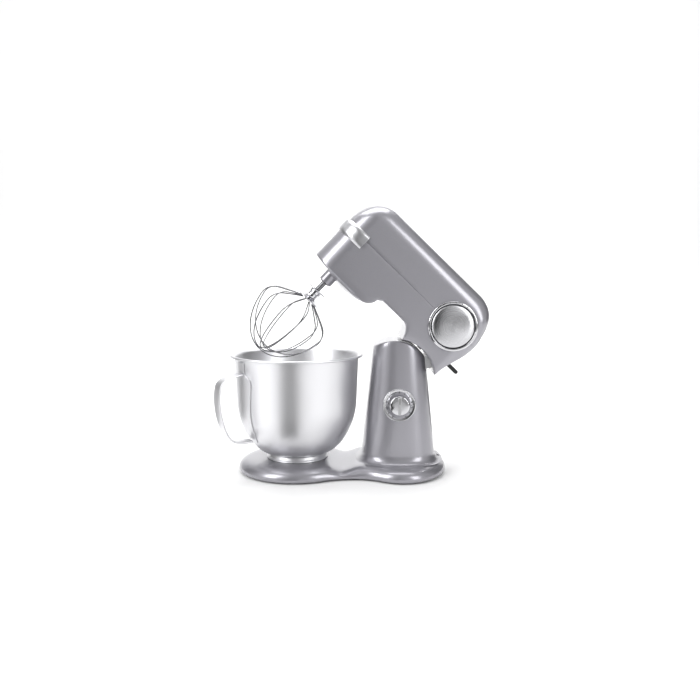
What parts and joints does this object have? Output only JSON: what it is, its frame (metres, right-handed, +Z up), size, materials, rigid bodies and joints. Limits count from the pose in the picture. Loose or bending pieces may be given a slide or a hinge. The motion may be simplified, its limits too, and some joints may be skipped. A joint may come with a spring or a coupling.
{
  "type": "stand mixer",
  "caption": "Tilt-head kitchen stand mixer with its head raised: pedestal with a speed dial, planetary drive and wire whisk over a steel bowl with a strap handle.",
  "frame": {"origin": "centre of the bounding box on the table plane, with the head at rest in its raised pose", "axes": "+Z up, -X towards the bowl and the front of the head, +X towards the column and the hinge, Y across the machine, with the speed dial on the -Y side"},
  "size_m": [0.458, 0.23, 0.455],
  "materials": {
    "grey_paint": "silver-grey metallic enamel",
    "polished_steel": "polished stainless steel",
    "wire_steel": "bright plain steel",
    "chrome_trim": "bright chrome plate",
    "brushed_trim": "fine brushed metal",
    "cast_alloy": "plain cast alloy",
    "black_plastic": "fine grained black plastic",
    "black_rubber": "moulded rubber",
    "bronze": "sintered bronze",
    "white_nylon": "natural nylon",
    "copper_winding": "laminations and copper winding",
    "green_board": "coated circuit board"
  },
  "bodies": {
    "pedestal": {"pedestal_casting": "grey_paint", "base_plate": "black_plastic", "dial_bezel": "brushed_trim", "speed_switch": "black_plastic", "control_board": "green_board", "cord_inlet": "black_plastic", "hinge_pin": "wire_steel", "hinge_bush_left": "bronze", "hinge_bush_right": "bronze", "foot_1": "black_rubber", "foot_2": "black_rubber", "foot_3": "black_rubber", "foot_4": "black_rubber", "bowl_seat": "cast_alloy"},
    "bowl": {"bowl_shell": "polished_steel", "bowl_foot": "polished_steel", "bowl_handle": "polished_steel", "handle_plate": "polished_steel"},
    "dial": {"speed_dial": "chrome_trim"},
    "head": {"head_lower_housing": "grey_paint", "head_top_cover": "grey_paint", "hinge_knuckle": "cast_alloy", "side_ring_left": "chrome_trim", "side_ring_right": "chrome_trim", "side_cap_left": "brushed_trim", "side_cap_right": "brushed_trim", "outlet_bush": "white_nylon", "lever_pin": "wire_steel", "ring_gear": "cast_alloy", "bearing_carrier": "cast_alloy", "lower_bearing": "wire_steel", "upper_bearing": "wire_steel", "motor_case": "cast_alloy", "motor_bracket": "cast_alloy", "drive_belt": "black_rubber"},
    "lever": {"release_lever": "black_plastic"},
    "latch": {"latch_bolt": "wire_steel"},
    "outlet_cap": {"outlet_cover": "brushed_trim"},
    "planetary": {"planetary_hub": "grey_paint", "spindle_bush": "bronze", "drive_pulley": "white_nylon", "crown_gear": "cast_alloy"},
    "whisk": {"spindle": "wire_steel", "spindle_pin": "wire_steel", "planet_pinion": "wire_steel", "whisk_collar": "wire_steel", "whisk_wire_1": "wire_steel", "whisk_wire_2": "wire_steel", "whisk_wire_3": "wire_steel", "whisk_wire_4": "wire_steel", "whisk_wire_5": "wire_steel", "whisk_wire_6": "wire_steel"},
    "rotor_shaft": {"rotor": "copper_winding", "motor_pulley": "wire_steel", "cooling_fan": "black_plastic"},
    "outlet_shaft": {"outlet_socket": "wire_steel"}
  },
  "joints": [
    {"name": "head_tilt", "type": "hinge", "parent": "pedestal", "child": "head", "pos_m": [0.07001, 0, 0.169], "axis": [0, 1, 0], "range_deg": [-44, 0]},
    {"name": "bowl_twist", "type": "hinge", "parent": "pedestal", "child": "bowl", "pos_m": [-0.09799, 0, 0.03], "axis": [0, 0, 1], "range_deg": [0, 25]},
    {"name": "dial_turn", "type": "hinge", "parent": "pedestal", "child": "dial", "pos_m": [0.07701, -0.05101, 0.123], "axis": [0, -0.9979, 0.0649], "range_deg": [-240, 0]},
    {"name": "lever_press", "type": "hinge", "parent": "head", "child": "lever", "pos_m": [0.14844, 0, 0.20127], "axis": [0, 1, 0], "range_deg": [0, 9], "stiffness_Nm_per_rad": 3, "springref_deg": -5.73},
    {"name": "latch_slide", "type": "slide", "parent": "head", "child": "latch", "axis": [0.6947, 0, 0.7193], "range_m": [0, 0.0048]},
    {"name": "planetary_spin", "type": "hinge", "parent": "head", "child": "planetary", "pos_m": [-0.01611, 0, 0.32167], "axis": [0.6947, 0, 0.7193], "continuous": true},
    {"name": "spindle_spin", "type": "hinge", "parent": "planetary", "child": "whisk", "pos_m": [-0.03625, 0, 0.34112], "axis": [0.6947, 0, 0.7193], "continuous": true},
    {"name": "rotor_spin", "type": "hinge", "parent": "head", "child": "rotor_shaft", "pos_m": [0.11884, 0, 0.28866], "axis": [0.6947, 0, 0.7193], "continuous": true},
    {"name": "outlet_spin", "type": "hinge", "parent": "head", "child": "outlet_shaft", "pos_m": [0.01263, 0, 0.39749], "axis": [0.7193, 0, -0.6947], "continuous": true},
    {"name": "cover_slide", "type": "slide", "parent": "head", "child": "outlet_cap", "axis": [-0.7193, 0, 0.6947], "range_m": [0, 0.06]}
  ],
  "couplings": [
    {"joint": "latch_slide", "follows": "lever_press", "m_per_rad": 0.03},
    {"joint": "spindle_spin", "follows": "planetary_spin", "ratio": -2.75},
    {"joint": "rotor_spin", "follows": "planetary_spin", "ratio": 5.25},
    {"joint": "outlet_spin", "follows": "planetary_spin", "ratio": -3}
  ]
}
